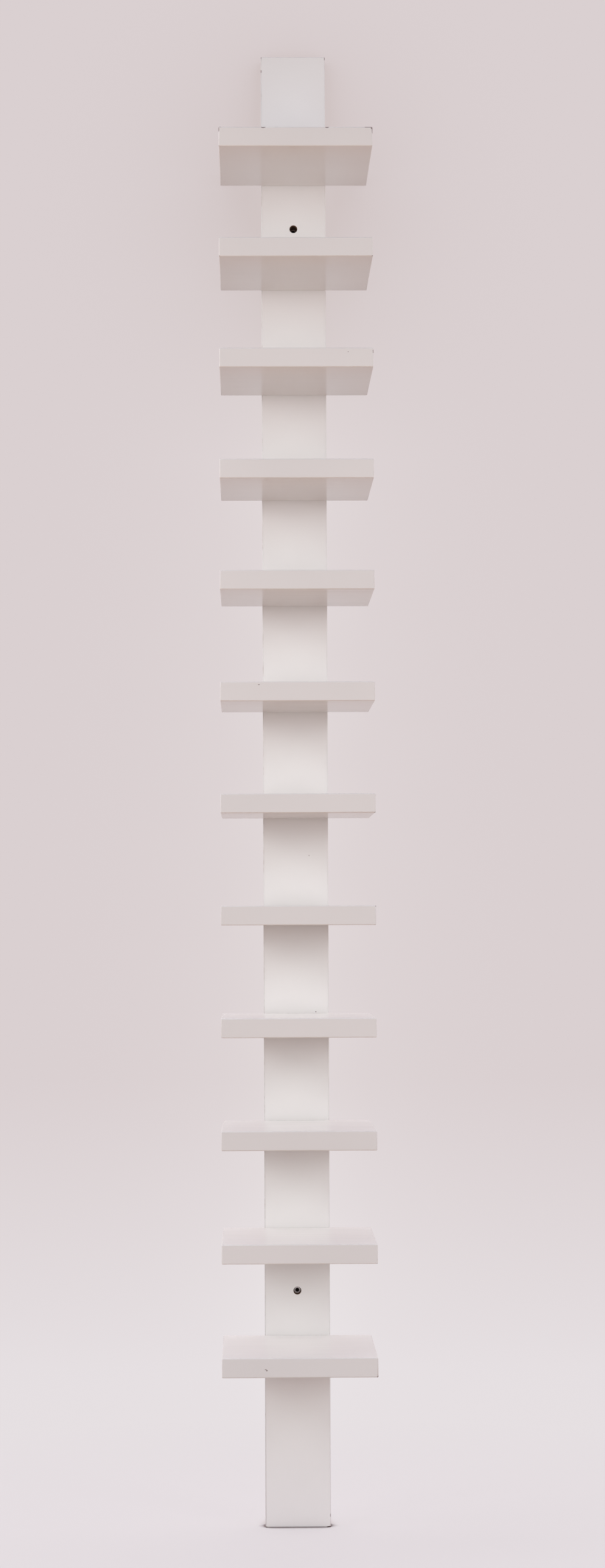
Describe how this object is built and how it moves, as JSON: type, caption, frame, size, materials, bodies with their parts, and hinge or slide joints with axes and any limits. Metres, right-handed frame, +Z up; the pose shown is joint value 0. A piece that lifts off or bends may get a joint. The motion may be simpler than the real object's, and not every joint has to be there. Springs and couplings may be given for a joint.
{
  "type": "spine bookshelf",
  "caption": "Tall narrow bookshelf: square white shelf boards stand out one above another from the front of a single upright spine board that is screwed to the wall.",
  "frame": {"origin": "on the floor, in the wall's plane, at the middle of the spine's back face", "axes": "+Z up along the spine, +Y into the wall, +X to the right as seen from the room"},
  "size_m": [0.2, 0.295, 2],
  "materials": {
    "white_paint": "satin white paint on fibreboard",
    "beech": "bare, grooved",
    "zinc_steel": "zinc plated",
    "dark_nickel": "dark nickel plated"
  },
  "bodies": {
    "root": {"spine": "white_paint", "shelf_01": "white_paint", "shelf_02": "white_paint", "shelf_03": "white_paint", "shelf_04": "white_paint", "shelf_05": "white_paint", "shelf_06": "white_paint", "shelf_07": "white_paint", "shelf_08": "white_paint", "shelf_09": "white_paint", "shelf_10": "white_paint", "shelf_11": "white_paint", "shelf_12": "white_paint", "shelf_dowels": "beech", "shelf_screws": "zinc_steel", "wall_screw": "dark_nickel"}
  },
  "joints": []
}
